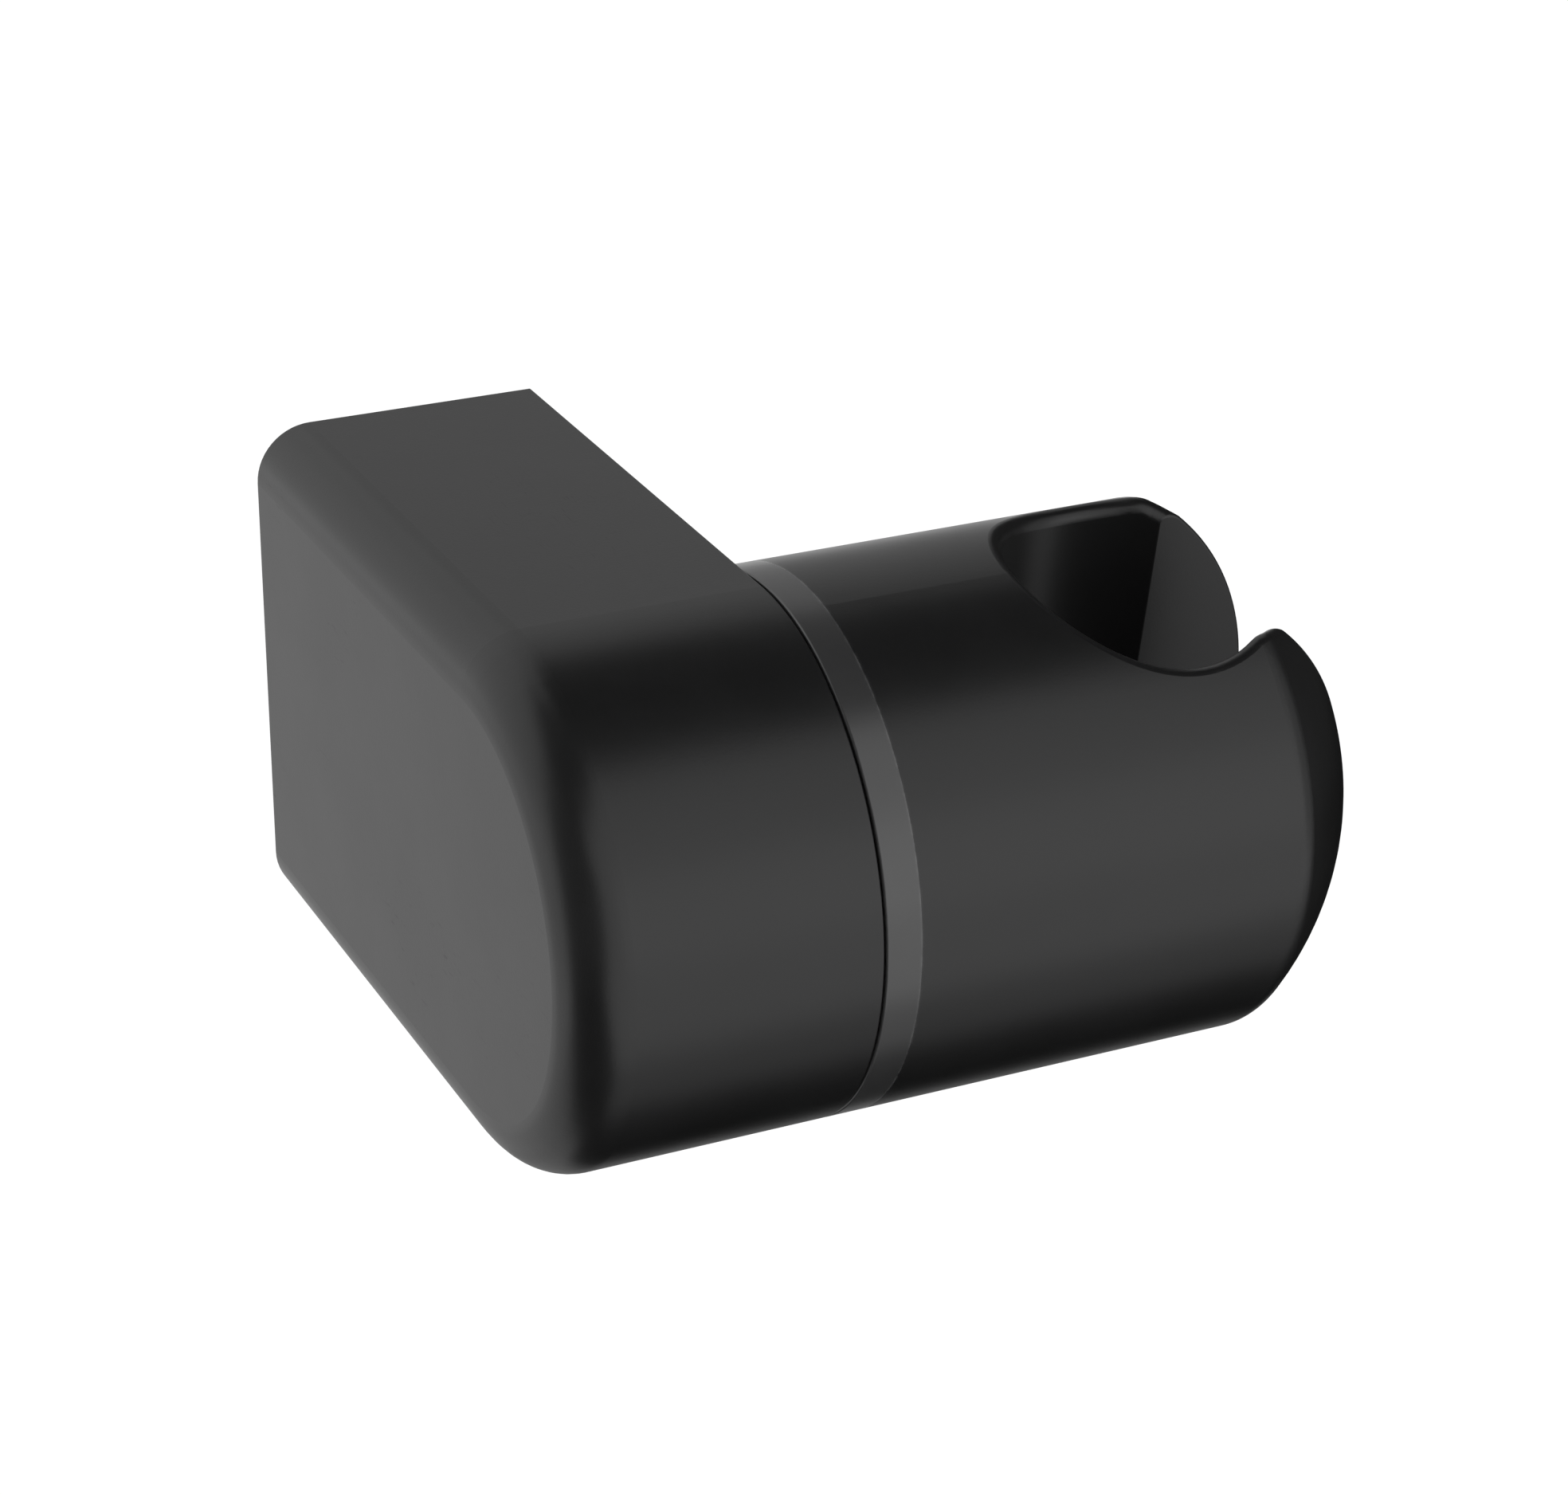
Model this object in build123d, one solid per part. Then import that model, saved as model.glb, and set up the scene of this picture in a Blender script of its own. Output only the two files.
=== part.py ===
from build123d import *

import os
from math import cos, radians, sin, sqrt, tan

# Wall-mounted hand shower holder. A D-shaped housing slips over a plate on the wall,
# and a round-ended cradle with a conical seat turns against its right side.
# Millimetres. Origin: centre of the wall plate's back face. X runs along the pivot
# towards the cradle, Y into the wall, Z up.

# Outer form
barrel_radius = 24.0
housing_width = 27.0
pivot_to_wall = 51.5
end_round = 5.2
edge_round = 0.2
ring_gap = 0.2
ring_width = 3.2
dome_radius = 28.3
dome_centre_x = 25.05
crease_round = 3.0

# Swivel, in degrees from upright, tipping the top away from the wall
rest_tilt = 11.7
swivel_each_way = 45.0

# Seat for the hose nut, and the slot that the hose passes
seat_x = 33.35
seat_top_radius = 12.0
seat_half_angle = 2.0
seat_rim_round = 1.0
slot_top_width = 18.5
slot_edge_round = 0.25

# Housing
housing_wall = 3.0
pivot_boss_radius = 11.0
pivot_boss_height = 3.0
gusset_count = 6
gusset_thickness = 1.6
gusset_height = 2.0
seat_rib_thickness = 1.8
seat_rib_height = 2.4
seat_rib_z = 9.0
seat_rib_start_y = 22.0

# Wall plate, pressed from sheet
sheet = 2.0
bend_radius = 1.2
plate_side_gap = 0.4
plate_top_gap = 0.2
plate_seat_gap = 0.1
top_tab_length = 12.0
top_tab_width = 14.0
lug_length = 13.0
screw_spacing = 22.0
screw_slot_width = 4.6
screw_slot_length = 8.0
catch_width = 8.0
catch_length = 3.2
catch_height = 2.2
catch_from_wall = 8.2
catch_gap = 0.3

# Locking screw under the housing
grub_from_wall = 9.0
grub_radius = 2.0
grub_length = 5.8
grub_recess = 0.6
grub_point_radius = 0.6
key_hole_radius = 2.3
hex_key = 2.0
hex_key_depth = 2.2
insert_wall = 1.0
insert_skin = 1.0
insert_boss_wall = 1.6
insert_boss_height = 1.6
lug_hole_radius = 1.5

# Spindle
spindle_radius = 5.0
thread_radius = 4.0
thread_clearance = 0.05
running_clearance = 0.05
flat_width = 6.6
flat_clearance = 0.1
spindle_end = 22.2
spindle_chamfer = 0.8
spindle_head = 15.0
spindle_head_thickness = 3.2
head_clearance = 0.1
seal_cord = 2.4
seal_groove_depth = 0.5
seal_groove_width = 2.6

# Friction stack
thrust_gap = 0.1
disc_recess = 0.6
outer_disc_thickness = 2.8
outer_disc_radius = 17.0
outer_disc_bore = 7.5
disc_edge_gap = 0.2
bush_wall = 1.45
bush_flange_radius = 9.0
bush_flange = 1.2
inner_disc_thickness = 1.5
inner_disc_radius = 11.0
thrust_washer_thickness = 1.6
thrust_washer_radius = 10.0
spring_thickness = 0.9
spring_cone = 0.6
spring_outer_radius = 9.0
spring_clearance = 0.25
spring_rim_gap = 0.05
tab_washer_thickness = 1.0
tab_washer_radius = 8.4
washer_tab_width = 5.0
washer_tab_length = 3.2
nut_across_flats = 13.0
nut_height = 6.4
nut_collar = 2.2
nut_collar_radius = 5.7
nut_lip = 0.4
nut_insert_height = 1.5
nut_insert_wall = 0.9

# Stop pin and its arc
stop_radius = 13.0
pin_radius = 1.5
pin_boss_wall = 2.0
pin_reach = 2.7
pin_clearance = 0.4

# Hub plate and trim ring
hub_plate_thickness = 4.0
hub_plate_gap = 0.3
ring_inner_radius = 19.5
spigot_wall = 1.5
spigot_clearance = 0.05
spigot_end_gap = 0.3
hub_bore_clearance = 0.1

# Screws through the hub plate
hub_screw_count = 3
hub_screw_radius = 1.5
hub_screw_head_radius = 3.0
hub_screw_length = 9.0
hub_screw_clearance = 0.2
cross_recess_width = 0.8
cross_recess_length = 3.4
cross_recess_depth = 1.2
hub_insert_radius = 2.3
hub_insert_length = 6.0
hub_boss_wall = 1.8

# Core of the cradle moulding
core_radius = 20.0
core_rib_thickness = 2.0
core_rib_count = 6
core_floor = 4.0
core_boss_wall = 2.6

# Stations along the pivot, from the housing's right face towards the cradle
cradle_x = ring_gap + ring_width
recess_x = -disc_recess
outer_disc_x = recess_x + outer_disc_thickness
hub_plate_x = outer_disc_x + thrust_gap
hub_seat_x = hub_plate_x + hub_plate_thickness
head_end_x = hub_seat_x + spindle_head_thickness
core_end_x = seat_x - seat_top_radius - core_floor
boss_end_x = -housing_wall - pivot_boss_height
bush_end_x = boss_end_x - bush_flange
inner_disc_x = bush_end_x - inner_disc_thickness
thrust_washer_x = inner_disc_x - thrust_gap - thrust_washer_thickness
spring_height = spring_thickness + spring_cone
springs_x = thrust_washer_x - 2 * spring_height - spring_rim_gap
tab_washer_x = springs_x - tab_washer_thickness
nut_x = tab_washer_x - nut_height
shoulder_x = inner_disc_x + thrust_gap

# Heights and depths in the housing
inner_radius = barrel_radius - housing_wall
cavity_width = housing_width - 2 * housing_wall
plate_width = cavity_width - 2 * plate_side_gap
plate_mid_x = -housing_width / 2
tab_top_z = inner_radius - plate_top_gap
grub_y = pivot_to_wall - grub_from_wall
grub_bottom_z = -barrel_radius + grub_recess
grub_top_z = grub_bottom_z + grub_length
grub_shank_top_z = grub_top_z - (grub_radius - grub_point_radius)
lug_bottom_z = grub_shank_top_z + grub_radius - lug_hole_radius + thrust_gap
insert_radius = grub_radius + thread_clearance + insert_wall
insert_bottom_z = -barrel_radius + insert_skin
insert_top_z = -inner_radius + insert_boss_height


def along_x(sketch, start, end):
    """A sketch in Y and Z, drawn out along X from start to end."""
    return extrude(Plane.YZ.offset(start) * sketch, end - start)


def x_disc(radius, start, end):
    return along_x(Circle(radius), start, end)


def x_tube(outer, inner, start, end):
    return along_x(Circle(outer) - Circle(inner), start, end)


def turned(points):
    """A solid of revolution about the pivot from (x, radius) points."""
    outline = Polyline(*[(x, 0, radius) for x, radius in points], close=True)
    return revolve(make_face(outline), Axis.X)


def span(x0, x1, y0, y1, z0, z1):
    """A block between two corners."""
    block = Box(x1 - x0, y1 - y0, z1 - z0)
    return Pos((x0 + x1) / 2, (y0 + y1) / 2, (z0 + z1) / 2) * block


def double_flat(radius, width):
    """The section of a shaft with two flats, or of its hole."""
    return Circle(radius) & Rectangle(2 * radius, width)


def polar(radius, angle):
    """A point at an angle round the pivot, as (y, z)."""
    return radius * cos(radians(angle)), radius * sin(radians(angle))


def d_block(radius, x0, x1, round_radius):
    """The housing's D section between x0 and x1, rounded at its left end."""
    section = Circle(radius) + Pos(pivot_to_wall / 2, 0) * Rectangle(pivot_to_wall, 2 * radius)
    block = along_x(section, x0, x1)
    end_edges = block.edges().group_by(Axis.X)[0]
    free_edges = [edge for edge in end_edges if edge.center().Y < pivot_to_wall - radius / 10]
    return fillet(free_edges, round_radius)


def wall_housing():
    outer = d_block(barrel_radius, -housing_width, 0, end_round)
    side_edge = [e for e in outer.edges().group_by(Axis.X)[-1] if e.center().Y < pivot_to_wall - 1]
    shell = fillet(side_edge, edge_round)
    cavity_round = max(end_round - housing_wall, edge_round)
    cavity = d_block(inner_radius, -housing_width + housing_wall, -housing_wall, cavity_round)
    shell -= cavity

    inside = x_disc(pivot_boss_radius, boss_end_x, -housing_wall)
    pin_y, pin_z = polar(stop_radius, -90)
    pin_boss = Pos(pin_y, pin_z) * Circle(pin_radius + pin_boss_wall)
    inside += along_x(pin_boss, boss_end_x, -housing_wall)
    for index in range(gusset_count):
        gusset = span(
            -housing_wall - gusset_height, -housing_wall,
            0, inner_radius,
            -gusset_thickness / 2, gusset_thickness / 2,
        )
        inside += Rot(360 / gusset_count * index, 0, 0) * gusset
    for side_x in (-housing_width + housing_wall, -housing_wall - seat_rib_height):
        for rib_z in (-seat_rib_z, seat_rib_z):
            inside += span(
                side_x, side_x + seat_rib_height,
                seat_rib_start_y, pivot_to_wall - sheet - plate_seat_gap,
                rib_z - seat_rib_thickness / 2, rib_z + seat_rib_thickness / 2,
            )
    catch_y = pivot_to_wall - catch_from_wall
    inside += span(
        plate_mid_x - catch_width / 2, plate_mid_x + catch_width / 2,
        catch_y, catch_y + catch_length,
        inner_radius - catch_height, inner_radius,
    )
    insert_boss = Cylinder(insert_radius + insert_boss_wall, insert_top_z + inner_radius)
    inside += Pos(plate_mid_x, grub_y, (insert_top_z - inner_radius) / 2) * insert_boss
    shell += inside & cavity

    bush_bore = spindle_radius + running_clearance + bush_wall
    shell -= x_disc(bush_bore, boss_end_x, 0)
    shell -= x_disc(outer_disc_radius + disc_edge_gap, recess_x, 0)
    shell -= along_x(Pos(pin_y, pin_z) * Circle(pin_radius), boss_end_x, 0)
    key_hole = Cylinder(key_hole_radius, 2 * insert_skin)
    shell -= Pos(plate_mid_x, grub_y, -barrel_radius) * key_hole
    insert_hole = Cylinder(insert_radius, insert_top_z - insert_bottom_z)
    shell -= Pos(plate_mid_x, grub_y, (insert_top_z + insert_bottom_z) / 2) * insert_hole
    return shell


def wall_plate():
    """Sheet bent to a U: a back with two slots, a tab over and a lug under."""
    back_y = pivot_to_wall - sheet / 2
    tab_z = tab_top_z - sheet / 2
    lug_z = lug_bottom_z + sheet / 2
    path = FilletPolyline(
        (plate_mid_x, pivot_to_wall - top_tab_length, tab_z),
        (plate_mid_x, back_y, tab_z),
        (plate_mid_x, back_y, lug_z),
        (plate_mid_x, pivot_to_wall - lug_length, lug_z),
        radius=bend_radius + sheet / 2,
    )
    section = Plane(path @ 0, x_dir=(1, 0, 0), z_dir=path % 0) * Rectangle(plate_width, sheet)
    plate = sweep(section, path=path)
    for hole_z in (-screw_spacing / 2, screw_spacing / 2):
        slot = SlotOverall(screw_slot_length, screw_slot_width, rotation=90)
        place = Plane((plate_mid_x, pivot_to_wall, hole_z), x_dir=(1, 0, 0), z_dir=(0, -1, 0))
        plate -= extrude(place * slot, 1.5 * sheet)
    window_y = pivot_to_wall - catch_from_wall - catch_gap
    plate -= span(
        plate_mid_x - catch_width / 2 - catch_gap, plate_mid_x + catch_width / 2 + catch_gap,
        window_y, window_y + catch_length + 2 * catch_gap,
        tab_top_z - 1.5 * sheet, tab_top_z + sheet / 2,
    )
    plate -= Pos(plate_mid_x, grub_y, lug_z) * Cylinder(lug_hole_radius, 2 * sheet)
    shoulder_z = tab_top_z - bend_radius - sheet
    for x0, x1 in ((-plate_width, -top_tab_width), (top_tab_width, plate_width)):
        plate -= span(
            plate_mid_x + x0 / 2, plate_mid_x + x1 / 2,
            pivot_to_wall - 2 * top_tab_length, pivot_to_wall,
            shoulder_z, tab_top_z,
        )
    return plate


def grub_screw():
    shank = Cylinder(grub_radius, grub_shank_top_z - grub_bottom_z)
    screw = Pos(0, 0, (grub_shank_top_z + grub_bottom_z) / 2) * shank
    point_height = grub_top_z - grub_shank_top_z
    point = Cone(grub_radius, grub_point_radius, point_height)
    screw += Pos(0, 0, grub_shank_top_z + point_height / 2) * point
    socket = RegularPolygon(hex_key / 2, 6, major_radius=False)
    screw -= extrude(Pos(0, 0, grub_bottom_z) * socket, hex_key_depth)
    return Pos(plate_mid_x, grub_y, 0) * screw


def grub_insert():
    height = insert_top_z - insert_bottom_z
    tube = extrude(Circle(insert_radius) - Circle(grub_radius + thread_clearance), height)
    return Pos(plate_mid_x, grub_y, insert_bottom_z) * tube


def pivot_bush():
    bore = spindle_radius + running_clearance
    bush = x_tube(bore + bush_wall, bore, boss_end_x, recess_x)
    return bush + x_tube(bush_flange_radius, bore, bush_end_x, boss_end_x)


def outer_friction_disc():
    disc = x_tube(outer_disc_radius, outer_disc_bore, recess_x, outer_disc_x)
    pin_y, pin_z = polar(stop_radius, -90)
    hole = Pos(pin_y, pin_z) * Circle(pin_radius + thrust_gap)
    return disc - along_x(hole, recess_x, outer_disc_x)


def inner_friction_disc():
    bore = spindle_radius + spring_clearance
    return x_tube(inner_disc_radius, bore, inner_disc_x, bush_end_x)


def stop_pin():
    pin_y, pin_z = polar(stop_radius, -90)
    pin = along_x(Pos(pin_y, pin_z) * Circle(pin_radius), boss_end_x, hub_plate_x + pin_reach)
    return chamfer(pin.edges(), pin_radius / 5)


def spindle():
    groove_x = hub_plate_x - seal_cord / 2
    shaft = x_disc(spindle_radius, shoulder_x, hub_seat_x)
    shaft -= x_tube(
        spindle_radius, spindle_radius - seal_groove_depth,
        groove_x - seal_groove_width / 2, groove_x + seal_groove_width / 2,
    )
    threaded = x_disc(thread_radius, -spindle_end, shoulder_x)
    threaded = chamfer(threaded.edges().group_by(Axis.X)[0], spindle_chamfer)
    flats = along_x(double_flat(thread_radius, flat_width), -spindle_end, shoulder_x)
    head = RegularPolygon(spindle_head / 2, 6, major_radius=False)
    return shaft + (threaded & flats) + along_x(head, hub_seat_x, head_end_x)


def spindle_seal():
    ring = Torus(spindle_radius - seal_groove_depth + seal_cord / 2, seal_cord / 2)
    return Pos(hub_plate_x - seal_cord / 2, 0, 0) * Rot(0, 90, 0) * ring


def keyed_washer(radius, start, end):
    hole = double_flat(thread_radius + flat_clearance, flat_width + 2 * flat_clearance)
    return along_x(Circle(radius) - hole, start, end)


def thrust_washer():
    return keyed_washer(thrust_washer_radius, thrust_washer_x, thrust_washer_x + thrust_washer_thickness)


def disc_springs():
    """Two conical spring washers, rim to rim."""
    bore = thread_radius + spring_clearance
    middle_x = springs_x + spring_height + spring_rim_gap / 2
    rim_x = middle_x + spring_rim_gap / 2
    washer = turned([
        (rim_x, spring_outer_radius),
        (rim_x + spring_thickness, spring_outer_radius),
        (rim_x + spring_height, bore),
        (rim_x + spring_cone, bore),
    ])
    return Compound(children=[washer, mirror(washer, about=Plane.YZ.offset(middle_x))])


def tab_washer():
    """A keyed washer with one tab turned up against a flat of the nut."""
    washer = keyed_washer(tab_washer_radius, tab_washer_x, springs_x)
    inner_z = nut_across_flats / 2 + flat_clearance
    washer += span(
        tab_washer_x - washer_tab_length, springs_x,
        -washer_tab_width / 2, washer_tab_width / 2,
        inner_z, inner_z + tab_washer_thickness,
    )
    return washer


def lock_nut():
    """Hex nut with a round collar that holds the locking insert."""
    collar_x = nut_x + nut_collar
    hexagon = RegularPolygon(nut_across_flats / 2, 6, major_radius=False)
    body = along_x(hexagon, collar_x, tab_washer_x)
    corner = nut_across_flats / sqrt(3)
    bevel = corner - nut_across_flats / 2
    body &= turned([
        (tab_washer_x, 0),
        (tab_washer_x, nut_across_flats / 2),
        (tab_washer_x - bevel * tan(radians(30)), corner),
        (collar_x + bevel * tan(radians(30)), corner),
        (collar_x, nut_across_flats / 2),
        (collar_x, 0),
    ])
    body += x_disc(nut_collar_radius, nut_x, collar_x)
    bore = thread_radius + thread_clearance
    body -= x_disc(bore, nut_x, tab_washer_x)
    groove_x = nut_x + nut_lip
    body -= x_disc(bore + nut_insert_wall, groove_x, groove_x + nut_insert_height)
    return body


def nut_insert():
    bore = thread_radius + thread_clearance
    start = nut_x + nut_lip
    return x_tube(bore + nut_insert_wall, bore, start, start + nut_insert_height)


def hub_screw_places():
    """Screws share the circle with the stop arc, which faces down."""
    step = 360 / (hub_screw_count + 1)
    return [polar(stop_radius, -90 + step * (index + 1)) for index in range(hub_screw_count)]


def hub_plate():
    radius = ring_inner_radius - hub_plate_gap
    plate = x_disc(radius, hub_plate_x, hub_seat_x)
    plate = chamfer(plate.edges().group_by(Axis.X)[0], edge_round)
    plate -= x_disc(spindle_radius + hub_bore_clearance, hub_plate_x, hub_seat_x)
    arc = CenterArc((0, 0), stop_radius, -90 - swivel_each_way, 2 * swivel_each_way)
    track = SlotArc(arc, 2 * (pin_radius + pin_clearance))
    plate -= along_x(track, hub_plate_x, hub_seat_x)
    for y, z in hub_screw_places():
        plate -= Pos(0, y, z) * screw_form(hub_screw_clearance)
    return plate


def screw_form(clearance):
    """A countersunk screw on the pivot's line, its head flush with the hub plate."""
    head = hub_screw_head_radius + clearance
    shank = hub_screw_radius + clearance
    return turned([
        (hub_plate_x, 0),
        (hub_plate_x, head),
        (hub_plate_x + head - shank, shank),
        (hub_plate_x + hub_screw_length, shank),
        (hub_plate_x + hub_screw_length, 0),
    ])


def hub_screws():
    screws = []
    recess_end = hub_plate_x + cross_recess_depth
    cross = Rectangle(cross_recess_length, cross_recess_width)
    cross += Rectangle(cross_recess_width, cross_recess_length)
    for y, z in hub_screw_places():
        screw = screw_form(0) - along_x(cross, hub_plate_x, recess_end)
        screws.append(Pos(0, y, z) * screw)
    return Compound(children=screws)


def hub_inserts():
    bore = hub_screw_radius + thread_clearance
    end = hub_seat_x + hub_insert_length
    tubes = [Circle(hub_insert_radius) - Circle(bore)] * hub_screw_count
    placed = [Pos(y, z) * tube for (y, z), tube in zip(hub_screw_places(), tubes)]
    return Compound(children=[along_x(tube, hub_seat_x, end) for tube in placed])


def trim_ring():
    ring = x_tube(barrel_radius, ring_inner_radius, ring_gap, cradle_x)
    housing_side = ring.edges().filter_by(GeomType.CIRCLE).group_by(Axis.X)[0]
    ring = fillet(housing_side.sort_by(SortBy.RADIUS)[-1], edge_round)
    spigot_end = hub_seat_x - spigot_end_gap
    return ring + x_tube(ring_inner_radius + spigot_wall, ring_inner_radius, cradle_x, spigot_end)


def cradle_core():
    """The hollow behind the hub plate, less the bosses and ribs that stand in it."""
    core = x_disc(core_radius, hub_seat_x, core_end_x)
    centre_boss = spindle_head / sqrt(3) + core_boss_wall
    core -= x_disc(centre_boss, hub_seat_x, core_end_x)
    for y, z in hub_screw_places():
        boss = Pos(y, z) * Circle(hub_insert_radius + hub_boss_wall)
        core -= along_x(boss, hub_seat_x, core_end_x)
    for index in range(core_rib_count):
        rib = span(
            hub_seat_x, core_end_x,
            0, core_radius,
            -core_rib_thickness / 2, core_rib_thickness / 2,
        )
        core -= Rot(360 / core_rib_count * (index + 0.5), 0, 0) * rib
    return core


def cradle_blank():
    """A round bar with a part-spherical end."""
    crease_x = dome_centre_x + sqrt(dome_radius ** 2 - barrel_radius ** 2)
    middle = radians(30)
    dome_middle = (
        dome_centre_x + dome_radius * cos(middle), 0, dome_radius * sin(middle)
    )
    apex = (dome_centre_x + dome_radius, 0, 0)
    side = Polyline(
        (cradle_x, 0, 0),
        (cradle_x, 0, barrel_radius),
        (crease_x, 0, barrel_radius),
    )
    dome = ThreePointArc((crease_x, 0, barrel_radius), dome_middle, apex)
    axis = Line(apex, (cradle_x, 0, 0))
    blank = revolve(make_face(side + dome + axis), Axis.X)
    crease = [e for e in blank.edges() if abs(e.center().X - crease_x) < edge_round]
    return fillet(crease, crease_round)


def cradle_body():
    body = cradle_blank()
    reach = 2 * barrel_radius
    taper = tan(radians(seat_half_angle))
    mid_radius = seat_top_radius - barrel_radius * taper
    cone = Cone(mid_radius - reach * taper, mid_radius + reach * taper, 2 * reach)
    body -= Pos(seat_x, 0, 0) * cone
    seat = body.faces().filter_by(GeomType.CONE)[0]
    rims = [edge for edge in seat.edges() if abs(edge.center().Z) > barrel_radius / 3]
    body = fillet(rims, seat_rim_round)

    wedge = Polyline(
        *[(side * (slot_top_width / 2 - (barrel_radius - z) * taper), z)
          for side, z in ((-1, reach), (1, reach), (1, -reach), (-1, -reach))],
        close=True,
    )
    body -= along_x(make_face(wedge), seat_x, dome_centre_x + 2 * dome_radius)
    seat_edges = body.faces().filter_by(GeomType.CONE).edges()
    slot_edges = []
    for face in body.faces().filter_by(GeomType.PLANE):
        if face.center().X > seat_x:
            slot_edges += [e for e in face.edges() if not any(e.is_same(s) for s in seat_edges)]
    body = fillet(slot_edges, slot_edge_round)

    body -= x_disc(ring_inner_radius + spigot_wall + spigot_clearance, cradle_x, hub_seat_x)
    body -= cradle_core()
    pocket = RegularPolygon(spindle_head / 2 + head_clearance, 6, major_radius=False)
    body -= along_x(pocket, hub_seat_x, head_end_x)
    for y, z in hub_screw_places():
        hole = Pos(y, z) * Circle(hub_insert_radius)
        body -= along_x(hole, hub_seat_x, hub_seat_x + hub_insert_length + hub_screw_radius)
    return body


on_wall = Pos(-plate_mid_x, -pivot_to_wall, 0)
as_tilted = on_wall * Rot(rest_tilt, 0, 0)

bracket_pieces = {
    "wall_housing": wall_housing,
    "wall_plate": wall_plate,
    "grub_screw": grub_screw,
    "grub_insert": grub_insert,
    "pivot_bush": pivot_bush,
    "outer_friction_disc": outer_friction_disc,
    "inner_friction_disc": inner_friction_disc,
    "stop_pin": stop_pin,
}
cradle_pieces = {
    "cradle_body": cradle_body,
    "trim_ring": trim_ring,
    "hub_plate": hub_plate,
    "hub_screws": hub_screws,
    "hub_inserts": hub_inserts,
    "spindle": spindle,
    "spindle_seal": spindle_seal,
    "thrust_washer": thrust_washer,
    "disc_springs": disc_springs,
    "tab_washer": tab_washer,
    "lock_nut": lock_nut,
    "nut_insert": nut_insert,
}

os.makedirs("parts", exist_ok=True)
for place, pieces in ((on_wall, bracket_pieces), (as_tilted, cradle_pieces)):
    for name, make in pieces.items():
        export_step(place * make(), f"parts/{name}.step")
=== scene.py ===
from math import radians

import bpy
from mathutils import Matrix, Vector


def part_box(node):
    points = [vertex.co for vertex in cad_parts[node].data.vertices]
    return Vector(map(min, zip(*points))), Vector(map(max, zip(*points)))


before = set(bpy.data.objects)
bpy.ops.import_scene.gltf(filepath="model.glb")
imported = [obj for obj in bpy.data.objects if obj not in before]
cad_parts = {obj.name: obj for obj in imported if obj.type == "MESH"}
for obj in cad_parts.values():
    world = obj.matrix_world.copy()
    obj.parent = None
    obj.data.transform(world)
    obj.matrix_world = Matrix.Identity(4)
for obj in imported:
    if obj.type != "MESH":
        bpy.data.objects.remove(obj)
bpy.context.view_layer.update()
print("frame loaded, nodes:", len(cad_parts))

scene = bpy.context.scene
scene.view_settings.view_transform = "Standard"


# camera, fitted to the outline of the photograph

cameraSettings = {
    "place": (-0.12222, -0.34373, 0.16116),
    "yaw": 25.25,       # degrees to the right of straight at the wall
    "pitch": 25.26,     # degrees down
    "roll": 0.47,
    "lens": 96.45,      # millimetres, as the sensor
    "sensor": 36,
    "clip": (0.01, 20),
}


def makeCamera():
    settings = cameraSettings
    data = bpy.data.cameras.new("productCamera")
    data.lens = settings["lens"]
    data.sensor_width = settings["sensor"]
    data.clip_start, data.clip_end = settings["clip"]
    camera = bpy.data.objects.new("productCamera", data)
    scene.collection.objects.link(camera)
    turn = Matrix.Rotation(-radians(settings["yaw"]), 4, "Z")
    tip = Matrix.Rotation(radians(90 - settings["pitch"]), 4, "X")
    roll = Matrix.Rotation(radians(settings["roll"]), 4, "Z")
    camera.matrix_world = Matrix.Translation(settings["place"]) @ turn @ tip @ roll
    scene.camera = camera


makeCamera()
print("camera ready")


# small helpers for node trees

fullTurn = 6.283185     # radians


def addNode(tree, kind, **values):
    node = tree.nodes.new(kind)
    for name, value in values.items():
        setattr(node, name, value)
    return node


def link(tree, source, target):
    tree.links.new(source, target)


def feed(tree, target, value):
    # a number or colour is set on the socket, a socket is linked to it
    if isinstance(value, bpy.types.NodeSocket):
        link(tree, value, target)
    else:
        target.default_value = value


def math(tree, operation, *values, clamp=False):
    node = addNode(tree, "ShaderNodeMath", operation=operation, use_clamp=clamp)
    for socket, value in zip(node.inputs, values):
        feed(tree, socket, value)
    return node.outputs[0]


def zigzag(tree, value):
    # up to a half and back again within each whole number
    return math(tree, "PINGPONG", value, 0.5)


def remap(tree, value, low, high):
    # a soft step from 0 at low to 1 at high
    node = addNode(tree, "ShaderNodeMapRange", interpolation_type="SMOOTHSTEP")
    for socket, item in zip(node.inputs, (value, low, high)):
        feed(tree, socket, item)
    return node.outputs[0]


def mixColour(tree, factor, first, second):
    node = addNode(tree, "ShaderNodeMix", data_type="RGBA")
    feed(tree, node.inputs[0], factor)
    feed(tree, node.inputs[6], (*first, 1) if isinstance(first, tuple) else first)
    feed(tree, node.inputs[7], (*second, 1) if isinstance(second, tuple) else second)
    return node.outputs[2]


def noise(tree, place, scale, detail=2.0, roughness=0.5):
    # a scale of three numbers stretches the pattern
    node = addNode(tree, "ShaderNodeTexNoise")
    node.inputs["Detail"].default_value = detail
    node.inputs["Roughness"].default_value = roughness
    if isinstance(scale, tuple):
        stretch = addNode(tree, "ShaderNodeMapping")
        stretch.inputs["Scale"].default_value = scale
        link(tree, place, stretch.inputs["Vector"])
        place, scale = stretch.outputs[0], 1
    link(tree, place, node.inputs["Vector"])
    feed(tree, node.inputs["Scale"], scale)
    return node.outputs["Fac"]


def axesOf(tree, place):
    split = addNode(tree, "ShaderNodeSeparateXYZ")
    link(tree, place, split.inputs[0])
    return split.outputs


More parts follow.
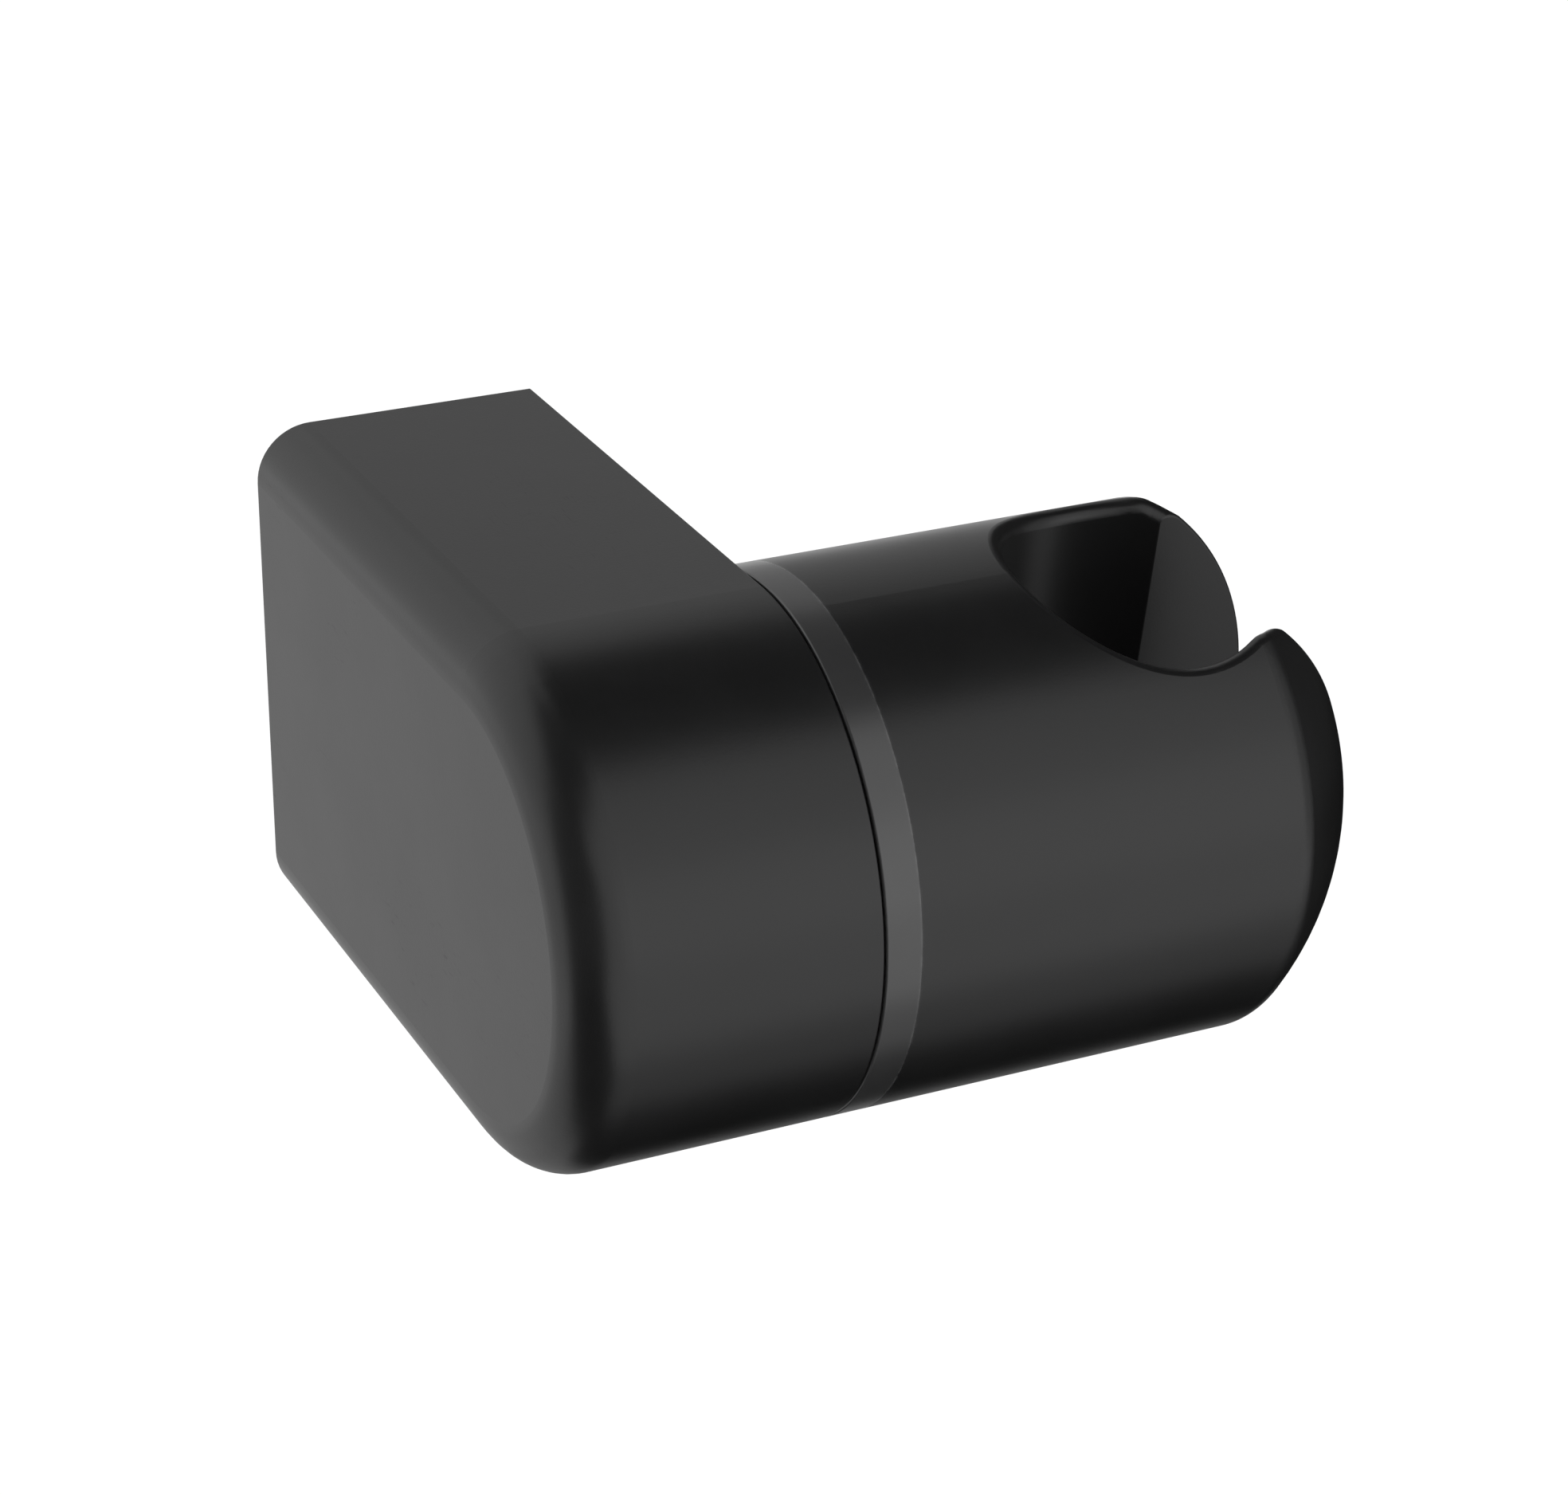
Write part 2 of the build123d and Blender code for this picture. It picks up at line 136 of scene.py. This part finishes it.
def startGroup(name, inputs, outputs):
    group = bpy.data.node_groups.new(name, "ShaderNodeTree")
    for label, value in inputs:
        kind = "NodeSocketVector" if value is None else "NodeSocketFloat"
        socket = group.interface.new_socket(name=label, in_out="INPUT", socket_type=kind)
        if value is not None:
            socket.default_value = value
    for label in outputs:
        group.interface.new_socket(name=label, in_out="OUTPUT", socket_type="NodeSocketFloat")
    source = group.nodes.new("NodeGroupInput")
    result = group.nodes.new("NodeGroupOutput")
    return group, source.outputs, result.inputs


def useGroup(tree, group, place, **values):
    node = addNode(tree, "ShaderNodeGroup", node_tree=group)
    link(tree, place, node.inputs["Place"])
    for name, value in values.items():
        feed(tree, node.inputs[name], value)
    return node.outputs


# effects that several finishes share

grainSettings = {
    "pits": 0.6,            # share of the height
    "fine": 0.5,
    "fineScale": 1.7,       # against the scale of the pits
    "mottleScale": 95.0,
}


def makeMouldGrain():
    # the fine spark-eroded texture of a mould, as height, with a slow mottle
    group, source, result = startGroup(
        "mouldGrain", [("Place", None), ("Size", 0.00022)], ["Height", "Mottle"])
    settings = grainSettings
    scale = math(group, "DIVIDE", 1.0, source["Size"])
    pits = addNode(group, "ShaderNodeTexVoronoi", feature="SMOOTH_F1")
    link(group, source["Place"], pits.inputs["Vector"])
    link(group, scale, pits.inputs["Scale"])
    fineScale = math(group, "MULTIPLY", scale, settings["fineScale"])
    fine = noise(group, source["Place"], fineScale, detail=3.0)
    height = math(group, "ADD",
                  math(group, "MULTIPLY", pits.outputs["Distance"], settings["pits"]),
                  math(group, "MULTIPLY", fine, settings["fine"]))
    link(group, height, result["Height"])
    slow = noise(group, source["Place"], settings["mottleScale"], detail=4.0, roughness=0.6)
    link(group, remap(group, slow, low=0.3, high=0.7), result["Mottle"])
    return group


def makeEdgeRub():
    # how far edges have been rubbed, broken up by noise
    group, source, result = startGroup(
        "edgeRub", [("Place", None), ("Reach", 0.0004), ("Breakup", 900.0)], ["Mask"])
    rounded = addNode(group, "ShaderNodeBevel", samples=6)
    link(group, source["Reach"], rounded.inputs["Radius"])
    surface = addNode(group, "ShaderNodeNewGeometry")
    near = addNode(group, "ShaderNodeVectorMath", operation="DOT_PRODUCT")
    link(group, rounded.outputs[0], near.inputs[0])
    link(group, surface.outputs["Normal"], near.inputs[1])
    bent = math(group, "SUBTRACT", 1.0, near.outputs["Value"])
    edge = remap(group, bent, low=0.01, high=0.12)
    broken = noise(group, source["Place"], source["Breakup"], detail=3.0, roughness=0.6)
    broken = remap(group, broken, low=0.35, high=0.65)
    link(group, math(group, "MULTIPLY", edge, broken), result["Mask"])
    return group


scratchSettings = {
    "stretch": ((260, 9000, 2300), (7000, 420, 3100)),      # one for each direction
    "patchScale": 60.0,
}


def makeFineScratches():
    # sparse hairlines in two directions
    group, source, result = startGroup(
        "fineScratches", [("Place", None), ("Amount", 0.5)], ["Mask"])
    first, second = [
        remap(group, noise(group, source["Place"], stretch, detail=1.0), low=0.69, high=0.73)
        for stretch in scratchSettings["stretch"]]
    lines = math(group, "MAXIMUM", first, second)
    patches = noise(group, source["Place"], scratchSettings["patchScale"])
    lines = math(group, "MULTIPLY", lines, remap(group, patches, low=0.5, high=0.65))
    link(group, math(group, "MULTIPLY", lines, source["Amount"]), result["Mask"])
    return group


def makeThreadForm():
    # a helical thread about an axis through the origin along Z, as height up to a half
    group, source, result = startGroup(
        "threadForm", [("Place", None), ("Pitch", 0.001)], ["Height"])
    x, y, z = axesOf(group, source["Place"])
    turns = math(group, "DIVIDE", math(group, "ARCTAN2", y, x), fullTurn)
    along = math(group, "DIVIDE", z, source["Pitch"])
    link(group, zigzag(group, math(group, "ADD", along, turns)), result["Height"])
    return group


mouldGrain = makeMouldGrain()
edgeRub = makeEdgeRub()
fineScratches = makeFineScratches()
threadForm = makeThreadForm()
print("shared effects ready")


def startMaterial(name, roughness, metallic=0.0):
    material = bpy.data.materials.new(name)
    material.use_nodes = True
    tree = material.node_tree
    shader = tree.nodes["Principled BSDF"].inputs
    shader["Roughness"].default_value = roughness
    shader["Metallic"].default_value = metallic
    place = addNode(tree, "ShaderNodeTexCoord").outputs["Object"]
    return material, tree, shader, place


def setBump(tree, shader, height, distance):
    bump = addNode(tree, "ShaderNodeBump")
    bump.inputs["Strength"].default_value = 1.0
    bump.inputs["Distance"].default_value = distance
    link(tree, height, bump.inputs["Height"])
    link(tree, bump.outputs[0], shader["Normal"])


# finishes, with all lengths in metres

mouldingSettings = {
    "colour": (0.0072, 0.0072, 0.0074),
    "mottled": (0.0084, 0.0084, 0.0087),
    "rubbed": (0.034, 0.034, 0.035),
    "roughness": 0.34,
    "gloss": 0.5,
    "grainSize": 0.00022,
    "grainDepth": 0.0000045,
}
trimSettings = {
    "colour": (0.025, 0.025, 0.0255),
    "mottled": (0.030, 0.030, 0.0305),
    "rubbed": (0.09, 0.09, 0.09),
    "roughness": 0.30,
    "gloss": 0.85,
    "grainSize": 0.00016,
    "grainDepth": 0.0000025,
}
mouldingWear = {
    "mottle": 0.018,        # spread of the roughness
    "rubColour": 0.6,       # how much of a rubbed edge shows
    "rubPolish": 0.08,      # how much smoother it is
    "scratches": 0.5,
    "scratchRough": 0.12,
}


def makeMoulding(name, settings):
    material, tree, shader, place = startMaterial(name, settings["roughness"])
    wear = mouldingWear
    shader["Specular IOR Level"].default_value = settings["gloss"]
    grain = useGroup(tree, mouldGrain, place, Size=settings["grainSize"])
    rub = useGroup(tree, edgeRub, place)["Mask"]
    marks = useGroup(tree, fineScratches, place, Amount=wear["scratches"])["Mask"]
    colour = mixColour(tree, grain["Mottle"], settings["colour"], settings["mottled"])
    shown = math(tree, "MULTIPLY", rub, wear["rubColour"])
    link(tree, mixColour(tree, shown, colour, settings["rubbed"]), shader["Base Color"])
    smoothest = settings["roughness"] - wear["mottle"] / 2
    rough = math(tree, "MULTIPLY_ADD", grain["Mottle"], wear["mottle"], smoothest)
    rough = math(tree, "SUBTRACT", rough, math(tree, "MULTIPLY", rub, wear["rubPolish"]))
    rough = math(tree, "ADD", rough, math(tree, "MULTIPLY", marks, wear["scratchRough"]))
    link(tree, rough, shader["Roughness"])
    setBump(tree, shader, grain["Height"], settings["grainDepth"])
    return material


sheetSettings = {
    "colour": (0.52, 0.52, 0.51),
    "darker": (0.40, 0.40, 0.40),
    "edge": (0.68, 0.68, 0.67),
    "edgeReach": 0.0003,
    "roughness": 0.30,
    "brushing": (5200, 5200, 110),      # long strokes up the plate
    "brushRough": 0.08,
    "brushDepth": 0.000004,
    "blotchScale": 140.0,
    "blotchTone": 0.5,
    "blotchRough": 0.12,
}


def makeBrushedSheet():
    # upright brushing on a bent plate, dulled in blotches, with bright sheared edges
    settings = sheetSettings
    material, tree, shader, place = startMaterial("brushedSheet", settings["roughness"], 1.0)
    brushed = noise(tree, place, settings["brushing"], detail=3.0, roughness=0.7)
    blotches = noise(tree, place, settings["blotchScale"], detail=3.0, roughness=0.6)
    blotches = remap(tree, blotches, low=0.4, high=0.75)
    rub = useGroup(tree, edgeRub, place, Reach=settings["edgeReach"])["Mask"]
    share = settings["blotchTone"]
    tone = math(tree, "MULTIPLY", brushed,
                math(tree, "MULTIPLY_ADD", blotches, share, 1 - share))
    colour = mixColour(tree, tone, settings["colour"], settings["darker"])
    link(tree, mixColour(tree, rub, colour, settings["edge"]), shader["Base Color"])
    rough = math(tree, "MULTIPLY_ADD", blotches, settings["blotchRough"],
                 settings["roughness"])
    link(tree, math(tree, "MULTIPLY_ADD", brushed, settings["brushRough"], rough),
         shader["Roughness"])
    setBump(tree, shader, brushed, settings["brushDepth"])
    return material


def radiusOf(tree, place):
    # distance from the local Z axis
    flat = addNode(tree, "ShaderNodeVectorMath", operation="MULTIPLY")
    link(tree, place, flat.inputs[0])
    flat.inputs[1].default_value = (1, 1, 0)
    size = addNode(tree, "ShaderNodeVectorMath", operation="LENGTH")
    link(tree, flat.outputs[0], size.inputs[0])
    return size.outputs["Value"]


pivotPlace = (0, -0.0515, 0)
upright = (0, 0, 0)
alongX = (0, radians(90), 0)
hubSettings = {
    # the hub's fasteners stand on a ring about the pivot
    "ringRadius": 0.013,
    "spacing": 90,          # degrees
    "restTilt": 11.7,       # degrees
    "insertRadius": 0.0023,
}


def aboutFasteners(tree, local):
    # folds coordinates about the pivot into those about the nearest hub fastener
    x, y, z = axesOf(tree, local)
    turned = math(tree, "SUBTRACT", math(tree, "ARCTAN2", y, x),
                  radians(hubSettings["restTilt"]))
    half = radians(hubSettings["spacing"] / 2)
    folded = math(tree, "WRAP", turned, half, -half)
    size = radiusOf(tree, local)
    outward = math(tree, "MULTIPLY", size, math(tree, "COSINE", folded))
    near = addNode(tree, "ShaderNodeCombineXYZ")
    link(tree, math(tree, "SUBTRACT", outward, hubSettings["ringRadius"]), near.inputs[0])
    link(tree, math(tree, "MULTIPLY", size, math(tree, "SINE", folded)), near.inputs[1])
    link(tree, z, near.inputs[2])
    return near.outputs[0]


def centred(tree, place, centre, turn, onHub):
    # coordinates about a point of the piece, turned so that its axis is Z
    mapping = addNode(tree, "ShaderNodeMapping", vector_type="TEXTURE")
    mapping.inputs["Location"].default_value = centre
    mapping.inputs["Rotation"].default_value = turn
    link(tree, place, mapping.inputs["Vector"])
    local = mapping.outputs[0]
    return aboutFasteners(tree, local) if onHub else local


turnedSettings = {
    "colour": (0.56, 0.56, 0.55),
    "darker": (0.42, 0.42, 0.42),
    "roughness": 0.26,
    "toolPitch": 0.00012,
    "toolDepth": 0.000003,
}
springSettings = {
    "colour": (0.19, 0.21, 0.26),
    "darker": (0.10, 0.10, 0.12),
    "roughness": 0.34,
    "toolPitch": 0.0002,
    "toolDepth": 0.000002,
}
turnedWear = {
    "markTone": 0.5,
    "stainScale": 320.0,
    "stainTone": 0.6,
    "stainRough": 0.15,
    "edgeReach": 0.00025,
    "edgeGain": 1.25,       # rubbed edges against the colour
}

# threads, with their span along the piece's own axis
grubThread = {"pitch": 0.0007, "depth": 0.00025, "span": (-0.0026, 0.0016)}
spindleThread = {"pitch": 0.00125, "depth": 0.0006, "span": (-0.0087, 0.0045)}
hubScrewThread = {"pitch": 0.0005, "depth": 0.0002, "span": (0.0185, 0.0246)}


def makeTurned(name, centre, turn, settings, thread=None, onHub=False):
    # lathe marks about the piece's own axis, and a thread over part of its length
    material, tree, shader, place = startMaterial(name, settings["roughness"], 1.0)
    wear = turnedWear
    local = centred(tree, place, centre, turn, onHub)
    z = axesOf(tree, local)[2]
    ring = math(tree, "ADD", radiusOf(tree, local), z)
    marks = zigzag(tree, math(tree, "DIVIDE", ring, settings["toolPitch"]))
    stains = noise(tree, place, wear["stainScale"], detail=3.0, roughness=0.6)
    stains = remap(tree, stains, low=0.45, high=0.7)
    rub = useGroup(tree, edgeRub, place, Reach=wear["edgeReach"])["Mask"]
    tone = math(tree, "MULTIPLY_ADD", marks, wear["markTone"],
                math(tree, "MULTIPLY", stains, wear["stainTone"]), clamp=True)
    colour = mixColour(tree, tone, settings["colour"], settings["darker"])
    bright = tuple(min(1.0, wear["edgeGain"] * part) for part in settings["colour"])
    link(tree, mixColour(tree, rub, colour, bright), shader["Base Color"])
    link(tree, math(tree, "MULTIPLY_ADD", stains, wear["stainRough"], settings["roughness"]),
         shader["Roughness"])
    height = math(tree, "MULTIPLY", marks, settings["toolDepth"])
    if thread:
        form = useGroup(tree, threadForm, local, Pitch=thread["pitch"])["Height"]
        low, high = thread["span"]
        inside = math(tree, "MULTIPLY", math(tree, "GREATER_THAN", z, low),
                      math(tree, "LESS_THAN", z, high))
        cut = math(tree, "MULTIPLY", form, thread["depth"])
        height = math(tree, "ADD", height, math(tree, "MULTIPLY", cut, inside))
    setBump(tree, shader, height, 1.0)      # this height is already in metres
    return material


brassSettings = {
    "colour": (0.72, 0.51, 0.22),
    "darker": (0.52, 0.34, 0.13),
    "roughness": 0.28,
    "ridges": 40,
    "ridgeBand": 0.0001,    # how far in from the outside the knurling shows
    "ridgeDepth": 0.00008,
    "ridgeTone": 0.5,
    "tarnishScale": 420.0,
    "tarnishTone": 0.6,
    "tarnishRough": 0.15,
}


def makeKnurledBrass(name, centre, turn, radius, onHub=False):
    # straight knurling round the outside of an insert
    settings = brassSettings
    material, tree, shader, place = startMaterial(name, settings["roughness"], 1.0)
    local = centred(tree, place, centre, turn, onHub)
    x, y = axesOf(tree, local)[:2]
    angle = math(tree, "ARCTAN2", y, x)
    ridges = zigzag(tree, math(tree, "MULTIPLY", angle, settings["ridges"] / fullTurn))
    outside = math(tree, "GREATER_THAN", radiusOf(tree, local), radius - settings["ridgeBand"])
    ridges = math(tree, "MULTIPLY", ridges, outside)
    tarnish = noise(tree, place, settings["tarnishScale"], detail=3.0, roughness=0.6)
    tarnish = remap(tree, tarnish, low=0.4, high=0.7)
    tone = math(tree, "MULTIPLY_ADD", tarnish, settings["tarnishTone"],
                math(tree, "MULTIPLY", ridges, settings["ridgeTone"]), clamp=True)
    link(tree, mixColour(tree, tone, settings["colour"], settings["darker"]),
         shader["Base Color"])
    link(tree, math(tree, "MULTIPLY_ADD", tarnish, settings["tarnishRough"],
                    settings["roughness"]), shader["Roughness"])
    setBump(tree, shader, ridges, settings["ridgeDepth"])
    return material


nylonSettings = {
    "colour": (0.78, 0.76, 0.70),
    "mottled": (0.70, 0.66, 0.55),      # yellowed
    "roughness": 0.42,
    "mottle": 0.08,
    "grainSize": 0.0003,
    "grainDepth": 0.000004,
    "scatter": 0.2,
    "scatterReach": (0.0012, 0.001, 0.0008),
}
rubberSettings = {
    "colour": (0.018, 0.018, 0.018),
    "mottled": (0.040, 0.040, 0.040),   # a grey bloom
    "roughness": 0.62,
    "mottle": 0.12,
    "grainSize": 0.00018,
    "grainDepth": 0.000008,
}


def makeGrained(name, settings):
    # mould grain, whose slow mottle shifts the colour and the roughness
    material, tree, shader, place = startMaterial(name, settings["roughness"])
    grain = useGroup(tree, mouldGrain, place, Size=settings["grainSize"])
    link(tree, mixColour(tree, grain["Mottle"], settings["colour"], settings["mottled"]),
         shader["Base Color"])
    link(tree, math(tree, "MULTIPLY_ADD", grain["Mottle"], settings["mottle"],
                    settings["roughness"]), shader["Roughness"])
    setBump(tree, shader, grain["Height"], settings["grainDepth"])
    return material, shader


def makeNylon():
    material, shader = makeGrained("paleNylon", nylonSettings)
    shader["Subsurface Weight"].default_value = nylonSettings["scatter"]
    shader["Subsurface Radius"].default_value = nylonSettings["scatterReach"]
    shader["Subsurface Scale"].default_value = 1.0
    return material


fibreSettings = {
    "colour": (0.15, 0.085, 0.05),
    "strand": (0.09, 0.052, 0.034),
    "fleck": (0.34, 0.24, 0.12),
    "roughness": 0.72,
    "strandScale": (1500, 7000, 2200),
    "strandDepth": 0.00003,
    "fleckScale": 3800.0,
    "fleckPolish": 0.25,    # how much smoother a fleck is
}


def makeFrictionFibre():
    # pressed fibre with brass-coloured flecks and short strands
    settings = fibreSettings
    material, tree, shader, place = startMaterial("frictionFibre", settings["roughness"])
    strands = noise(tree, place, settings["strandScale"], detail=3.0, roughness=0.6)
    flecks = noise(tree, place, settings["fleckScale"])
    flecks = remap(tree, flecks, low=0.62, high=0.72)
    colour = mixColour(tree, strands, settings["colour"], settings["strand"])
    link(tree, mixColour(tree, flecks, colour, settings["fleck"]), shader["Base Color"])
    link(tree, math(tree, "MULTIPLY_ADD", flecks, -settings["fleckPolish"],
                    settings["roughness"]), shader["Roughness"])
    setBump(tree, shader, strands, settings["strandDepth"])
    return material


zincSettings = {
    "colour": (0.40, 0.41, 0.42),
    "dull": (0.27, 0.275, 0.285),
    "rubbed": (0.60, 0.60, 0.60),
    "edgeReach": 0.0004,
    "roughness": 0.42,
    "flowScale": (150, 60, 420),
    "flowRough": 0.14,
    "grainSize": 0.00035,
    "grainDepth": 0.00002,
}


def makeZincCasting():
    # as cast: soft flow marks, a grainy skin and brighter rubbed edges
    settings = zincSettings
    material, tree, shader, place = startMaterial("zincCasting", settings["roughness"], 1.0)
    skin = useGroup(tree, mouldGrain, place, Size=settings["grainSize"])
    flow = noise(tree, place, settings["flowScale"], detail=4.0, roughness=0.65)
    flow = remap(tree, flow, low=0.3, high=0.7)
    rub = useGroup(tree, edgeRub, place, Reach=settings["edgeReach"])["Mask"]
    colour = mixColour(tree, flow, settings["colour"], settings["dull"])
    link(tree, mixColour(tree, rub, colour, settings["rubbed"]), shader["Base Color"])
    link(tree, math(tree, "MULTIPLY_ADD", flow, settings["flowRough"], settings["roughness"]),
         shader["Roughness"])
    setBump(tree, shader, skin["Height"], settings["grainDepth"])
    return material


def middleOf(nodeName):
    low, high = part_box(nodeName)
    return (low + high) / 2


def halfWidth(nodeName):
    low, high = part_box(nodeName)
    return (high - low).x / 2


blackMoulding = makeMoulding("blackMoulding", mouldingSettings)
pivotTurned = makeTurned("turnedSteel", pivotPlace, alongX, turnedSettings)
paleNylon = makeNylon()
frictionFibre = makeFrictionFibre()
grubMiddle = middleOf("grub_screw")
finishOf = {
    "wall_housing": blackMoulding,
    "cradle_body": blackMoulding,
    "trim_ring": makeMoulding("greyTrim", trimSettings),
    "wall_plate": makeBrushedSheet(),
    "grub_screw": makeTurned("grubSteel", grubMiddle, upright, turnedSettings, grubThread),
    "grub_insert": makeKnurledBrass("grubBrass", grubMiddle, upright,
                                    halfWidth("grub_insert")),
    "pivot_bush": paleNylon,
    "nut_insert": paleNylon,
    "outer_friction_disc": frictionFibre,
    "inner_friction_disc": frictionFibre,
    "stop_pin": pivotTurned,
    "spindle": makeTurned("spindleSteel", pivotPlace, alongX, turnedSettings, spindleThread),
    "thrust_washer": pivotTurned,
    "tab_washer": pivotTurned,
    "lock_nut": pivotTurned,
    "disc_springs": makeTurned("bluedSpring", pivotPlace, alongX, springSettings),
    "hub_plate": makeZincCasting(),
    "hub_screws": makeTurned("hubScrewSteel", pivotPlace, alongX, turnedSettings,
                             hubScrewThread, onHub=True),
    "hub_inserts": makeKnurledBrass("hubBrass", pivotPlace, alongX,
                                    hubSettings["insertRadius"], onHub=True),
    "spindle_seal": makeGrained("sealRubber", rubberSettings)[0],
}
for nodeName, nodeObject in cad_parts.items():
    nodeObject.material_slots[0].material = finishOf[nodeName]
print("finishes assigned to", len(finishOf), "nodes")


# floor, background and light

lightSettings = {
    "floorDrop": 0.18,      # metres from the pivot down to the floor
    "floorSize": 12.0,
    "skyLevel": 0.95,       # what lights the diffuse surfaces
    "floorColour": 0.8,
    "floorGlow": 0.28,      # added for camera, mirror and glass rays only
}

cardSettings = {
    # cards that only reflections see: centre, width, depth, turn in degrees, brightness
    "cardAbove": ((0.26, 0.038, 0.42), 0.58, 0.505, (0, 0, 0), 0.0),
    "cardAboveCut": ((0.01, 0.235, 0.415), 0.40, 0.14, (0, 0, 44), 0.75),
    "cardSlanted": ((-0.36, -0.23, 0.43), 0.76, 0.44, (0, 0, 22), 0.01),
    "cardBehind": ((0.29, 0.60, 0.36), 0.38, 0.74, (90, 0, 0), 0.48),
    "cardBehindMid": ((-0.01, 0.60, 0.36), 0.22, 0.74, (90, 0, 0), 0.66),
    "cardBehindLeft": ((-0.29, 0.60, 0.36), 0.34, 0.74, (90, 0, 0), 0.80),
    "cardLow": ((-0.30, 0.50, -0.165), 0.70, 0.80, (0, 0, 0), 0.75),
    "cardHeel": ((-0.105, 0.03, -0.139), 0.17, 0.15, (0, 0, 0), 0.58),
    "cardHeelCut": ((0.006, 0.029, -0.137), 0.12, 0.05, (0, 0, 33.7), 0.46),
    "cardBelow": ((0.234, -0.0435, -0.138), 0.532, 0.123, (0, 0, 0), 0.0),
    "cardBelowBack": ((0.069, 0.049, -0.1385), 0.202, 0.062, (0, 0, 0), 0.40),
    "cardAside": ((0.46, 0.18, -0.142), 0.58, 0.40, (0, 0, 0), 0.0),
    "cardFore": ((0.235, -0.1475, -0.14), 0.53, 0.085, (0, 0, 0), 0.42),
    "cardCorner": ((-0.19, -0.0985, -0.141), 0.35, 0.123, (0, 0, 0), 0.02),
    "cardCornerCut": ((-0.296, -0.304, -0.142), 0.625, 0.25, (0, 0, 50.2), 0.02),
    "cardLeft": ((-0.45, -0.512, 0.0), 0.95, 0.90, (90, 0, 90), 0.13),
    "cardRight": ((0.50, 0.31, 0.0), 0.86, 0.95, (90, 0, 90), 0.03),
    "cardRightFore": ((0.50, -0.26, 0.0), 0.28, 0.95, (90, 0, 90), 0.5),
}

lampSettings = {
    # soft boxes: place, aim, width, height, watts
    "frontBox": ((0.55, -1.15, 0.10), (0.03, -0.05, 0.0), 1.0, 0.9, 0.9),
}


def seesBackground(tree):
    path = addNode(tree, "ShaderNodeLightPath")
    seen = math(tree, "MAXIMUM", path.outputs["Is Camera Ray"], path.outputs["Is Glossy Ray"])
    return math(tree, "MAXIMUM", seen, path.outputs["Is Transmission Ray"])


def makeWorld():
    world = bpy.data.worlds.new("studioWorld")
    scene.world = world
    world.use_nodes = True
    tree = world.node_tree
    sky = tree.nodes["Background"]
    sky.inputs["Color"].default_value = (1, 1, 1, 1)
    level = lightSettings["skyLevel"]
    strength = math(tree, "MULTIPLY_ADD", seesBackground(tree), 1.0 - level, level)
    link(tree, strength, sky.inputs["Strength"])


def addPlane(name, size, place, turn=(0, 0, 0)):
    bpy.ops.object.select_all(action="DESELECT")
    bpy.ops.mesh.primitive_plane_add(
        size=size, location=place, rotation=[radians(angle) for angle in turn])
    plane = bpy.context.object
    plane.name = name
    return plane


def bareMaterial(name):
    material = bpy.data.materials.new(name)
    material.use_nodes = True
    tree = material.node_tree
    tree.nodes.remove(tree.nodes["Principled BSDF"])
    return material, tree, tree.nodes["Material Output"].inputs["Surface"]


def makeFloor():
    floor = addPlane("floor", lightSettings["floorSize"], (0, 0, -lightSettings["floorDrop"]))
    material, tree, surface = bareMaterial("paleFloor")
    paint = addNode(tree, "ShaderNodeBsdfDiffuse")
    paint.inputs["Color"].default_value = (*[lightSettings["floorColour"]] * 3, 1)
    glow = addNode(tree, "ShaderNodeEmission")
    link(tree, math(tree, "MULTIPLY", seesBackground(tree), lightSettings["floorGlow"]),
         glow.inputs["Strength"])
    both = addNode(tree, "ShaderNodeAddShader")
    link(tree, paint.outputs[0], both.inputs[0])
    link(tree, glow.outputs[0], both.inputs[1])
    # clear from underneath, so that a view from below still shows the holder
    side = addNode(tree, "ShaderNodeNewGeometry")
    clear = addNode(tree, "ShaderNodeBsdfTransparent")
    oneSided = addNode(tree, "ShaderNodeMixShader")
    link(tree, side.outputs["Backfacing"], oneSided.inputs[0])
    link(tree, both.outputs[0], oneSided.inputs[1])
    link(tree, clear.outputs[0], oneSided.inputs[2])
    link(tree, oneSided.outputs[0], surface)
    floor.data.materials.append(material)


def makeCard(name, centre, width, depth, turn, level):
    card = addPlane(name, 1, centre, turn)
    card.scale = (width, depth, 1)
    material, tree, surface = bareMaterial(name + "Felt")
    felt = addNode(tree, "ShaderNodeEmission")
    felt.inputs["Strength"].default_value = level
    link(tree, felt.outputs[0], surface)
    card.data.materials.append(material)
    card.visible_camera = False
    card.visible_diffuse = False
    card.visible_shadow = False
    card.visible_transmission = False


def makeLamp(name, place, aim, width, height, watts):
    data = bpy.data.lights.new(name, "AREA")
    data.shape = "RECTANGLE"
    data.size = width
    data.size_y = height
    data.energy = watts
    lamp = bpy.data.objects.new(name, data)
    scene.collection.objects.link(lamp)
    lamp.location = place
    lamp.rotation_euler = (Vector(aim) - Vector(place)).to_track_quat("-Z", "Y").to_euler()


makeWorld()
makeFloor()
for name, values in cardSettings.items():
    makeCard(name, *values)
for name, values in lampSettings.items():
    makeLamp(name, *values)
print("stage ready")
